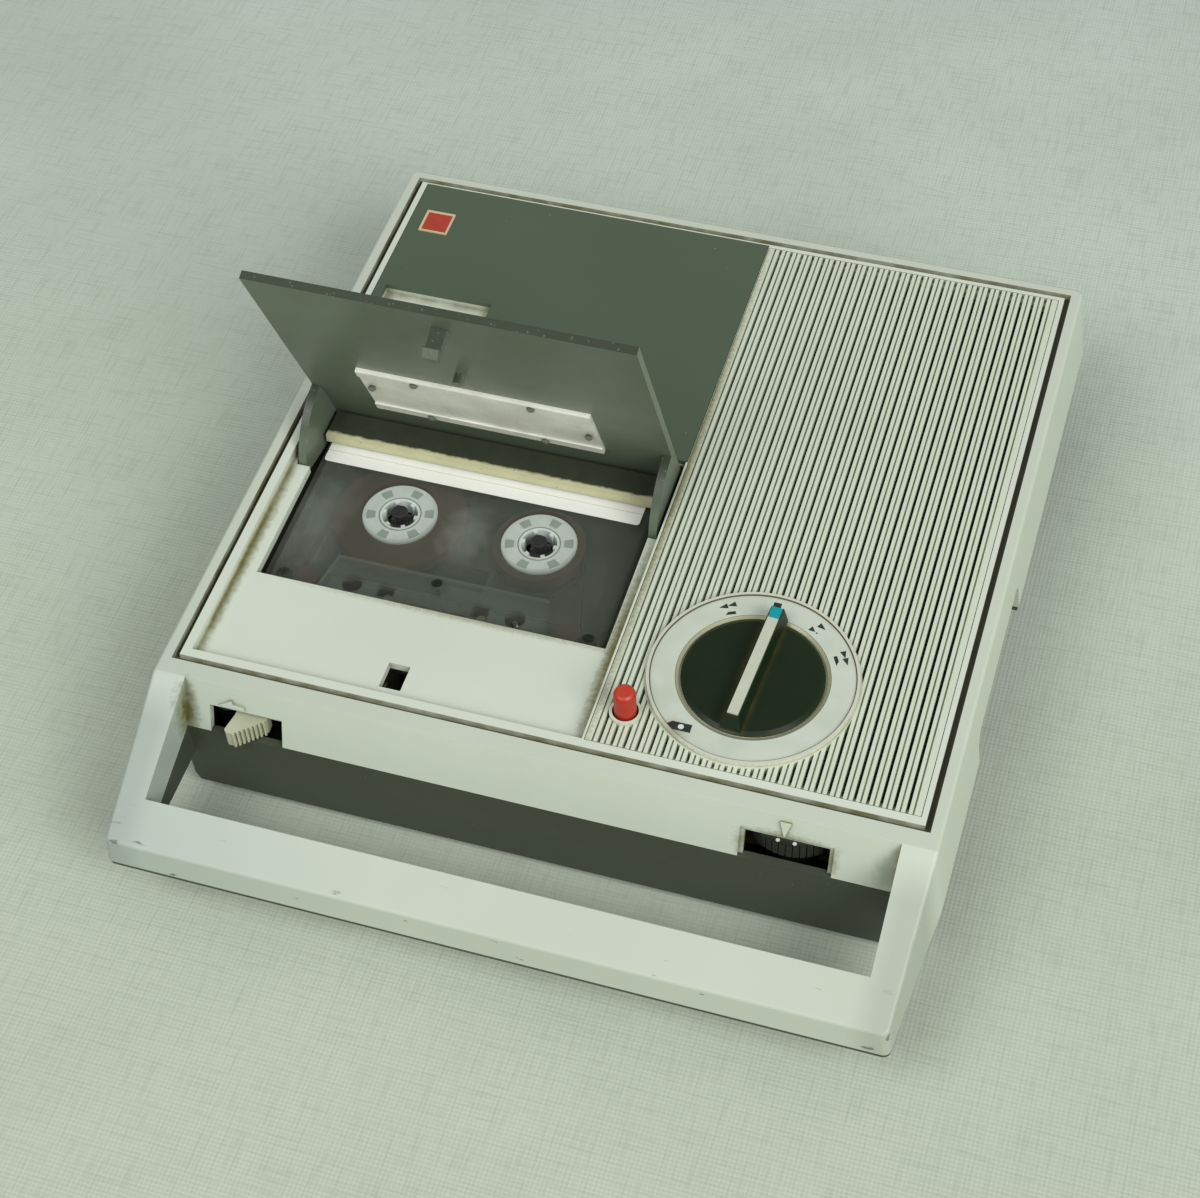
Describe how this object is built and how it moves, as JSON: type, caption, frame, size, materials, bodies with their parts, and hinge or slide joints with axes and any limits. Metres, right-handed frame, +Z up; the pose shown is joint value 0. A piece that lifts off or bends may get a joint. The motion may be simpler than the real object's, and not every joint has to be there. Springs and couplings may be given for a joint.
{
  "type": "cassette recorder",
  "caption": "Flat portable tape recorder with a handle in the case, a hinged smoked lid over the cassette well, a rotary selector and a ribbed speaker grille.",
  "frame": {"origin": "on the ground under the middle of the machine", "axes": "X left to right, Y from the handle at the front to the back, Z up"},
  "size_m": [0.223, 0.257, 0.1306],
  "materials": {
    "case_plastic": "fine textured, slightly dirty",
    "base_plastic": "dull dark olive grey",
    "panel_plastic": "fine textured ivory grey",
    "trim_dark": "satin dark grey",
    "badge_red": "glossy",
    "grille_plastic": "moulded ribs, satin",
    "cloth": "woven",
    "ring_metal": "spun and brushed",
    "knob_black": "satin black",
    "stripe_white": "printed white",
    "tip_blue": "glossy",
    "steel": "plated steel",
    "black_plastic": "dull",
    "button_red": "glossy",
    "lid_smoked": "smoked, scratched gloss",
    "insert_clear": "dusty clear plastic",
    "cassette_plastic": "satin dark grey",
    "paper": "printed paper",
    "tape": "brown tape on white hubs",
    "rubber": "dull black",
    "motor_steel": "pressed steel",
    "brass": "turned",
    "board": "brown laminate",
    "cell": "printed wrap",
    "paper_cone": "pressed paper"
  },
  "bodies": {
    "housing": {"upper_case": "case_plastic", "lower_case": "base_plastic", "rubber_feet": "rubber", "case_screws": "steel", "top_panel": "panel_plastic", "trim_plate": "trim_dark", "badge": "badge_red", "speaker_grille": "grille_plastic", "speaker_cloth": "cloth", "dial_ring": "ring_metal", "selector_switch": "black_plastic", "record_spring": "steel", "volume_control": "black_plastic", "hinge_pins": "steel", "cassette_shelf": "panel_plastic", "chassis_plate": "motor_steel", "capstan_bearing": "brass", "flywheel_strap": "motor_steel", "motor": "motor_steel", "drive_belt": "rubber", "slide_guides": "steel", "speaker_frame": "motor_steel", "speaker_cone": "paper_cone", "circuit_board": "board", "board_parts": "black_plastic", "mounting_screws": "steel", "jack_panel": "black_plastic", "jack_sockets": "black_plastic", "battery_cells": "cell", "battery_contacts": "brass"},
    "lid": {"cassette_lid": "lid_smoked", "lid_window": "insert_clear"},
    "cassette": {"cassette_upper": "cassette_plastic", "cassette_lower": "cassette_plastic", "cassette_screws": "steel", "cassette_label": "paper", "tape_path": "tape"},
    "supply_reel_body": {"supply_reel": "tape"},
    "takeup_reel_body": {"takeup_reel": "tape"},
    "supply_spindle_body": {"supply_spindle": "black_plastic"},
    "takeup_spindle_body": {"takeup_spindle": "black_plastic"},
    "flywheel_body": {"flywheel": "steel"},
    "motor_pulley_body": {"motor_pulley": "brass"},
    "bridge": {"head_bridge": "motor_steel", "record_head": "steel", "erase_head": "black_plastic", "pinch_arm": "motor_steel"},
    "pinch_roller_body": {"pinch_roller": "rubber"},
    "eject": {"eject_lever": "panel_plastic"},
    "latch": {"lid_latch": "motor_steel"},
    "tilt_frame": {"eject_frame": "motor_steel"},
    "record": {"record_button": "button_red"},
    "selector": {"function_knob": "knob_black", "knob_stripe": "stripe_white", "knob_tip": "tip_blue", "knob_shaft": "steel"},
    "volume": {"volume_wheel": "black_plastic"},
    "door": {"battery_door": "base_plastic"}
  },
  "joints": [
    {"name": "lid_hinge", "type": "hinge", "parent": "housing", "child": "lid", "pos_m": [0, 0.0207, 0.0413], "axis": [-1, 0, 0], "range_deg": [-67.6, 0], "stiffness_Nm_per_rad": 0.02, "springref_deg": 40.11},
    {"name": "cassette_tilt", "type": "hinge", "parent": "housing", "child": "cassette", "pos_m": [0, 0.0231, 0.0405], "axis": [-1, 0, 0], "range_deg": [0, 5]},
    {"name": "supply_reel_spin", "type": "hinge", "parent": "cassette", "child": "supply_reel_body", "pos_m": [-0.0661, -0.0057, 0.03615], "axis": [0, 0, 1], "continuous": true},
    {"name": "takeup_reel_spin", "type": "hinge", "parent": "cassette", "child": "takeup_reel_body", "pos_m": [-0.0236, -0.0057, 0.03615], "axis": [0, 0, 1], "continuous": true},
    {"name": "supply_spindle_spin", "type": "hinge", "parent": "housing", "child": "supply_spindle_body", "pos_m": [-0.0661, -0.0057, 0.03], "axis": [0, 0, 1], "continuous": true},
    {"name": "takeup_spindle_spin", "type": "hinge", "parent": "housing", "child": "takeup_spindle_body", "pos_m": [-0.0236, -0.0057, 0.03], "axis": [0, 0, 1], "continuous": true},
    {"name": "flywheel_spin", "type": "hinge", "parent": "housing", "child": "flywheel_body", "pos_m": [-0.02065, -0.0361, 0.01], "axis": [0, 0, 1], "continuous": true},
    {"name": "motor_spin", "type": "hinge", "parent": "housing", "child": "motor_pulley_body", "pos_m": [-0.08085, -0.0361, 0.01], "axis": [0, 0, 1], "continuous": true},
    {"name": "bridge_slide", "type": "slide", "parent": "housing", "child": "bridge", "axis": [0, -1, 0], "range_m": [-0.004, 0]},
    {"name": "pinch_roller_spin", "type": "hinge", "parent": "bridge", "child": "pinch_roller_body", "pos_m": [-0.02065, -0.04775, 0.03615], "axis": [0, 0, 1], "continuous": true},
    {"name": "eject_slide", "type": "slide", "parent": "housing", "child": "eject", "axis": [-1, 0, 0], "range_m": [0, 0.005], "stiffness_N_per_m": 150, "springref_m": -0.001},
    {"name": "latch_slide", "type": "slide", "parent": "housing", "child": "latch", "axis": [-1, 0, 0], "range_m": [-0.002, 0]},
    {"name": "frame_tilt", "type": "hinge", "parent": "housing", "child": "tilt_frame", "pos_m": [0, 0.019, 0.0297], "axis": [-1, 0, 0], "range_deg": [0, 7]},
    {"name": "record_press", "type": "slide", "parent": "housing", "child": "record", "axis": [0, 0, -1], "range_m": [0, 0.003], "stiffness_N_per_m": 300, "springref_m": -0.002},
    {"name": "selector_turn", "type": "hinge", "parent": "housing", "child": "selector", "pos_m": [0.04935, -0.0427, 0.048], "axis": [0, 0, 1], "range_deg": [-56, 28]},
    {"name": "volume_turn", "type": "hinge", "parent": "housing", "child": "volume", "pos_m": [0.06955, -0.0718, 0.036], "axis": [0, 0, 1], "range_deg": [-140, 140]},
    {"name": "door_slide", "type": "slide", "parent": "housing", "child": "door", "axis": [0, 1, 0], "range_m": [0, 0.012]}
  ],
  "couplings": [
    {"joint": "cassette_tilt", "follows": "eject_slide", "rad_per_m": 17.453},
    {"joint": "frame_tilt", "follows": "eject_slide", "rad_per_m": 24.435},
    {"joint": "supply_reel_spin", "follows": "supply_spindle_spin", "ratio": 1},
    {"joint": "takeup_reel_spin", "follows": "takeup_spindle_spin", "ratio": 1},
    {"joint": "motor_spin", "follows": "flywheel_spin", "ratio": 6}
  ]
}
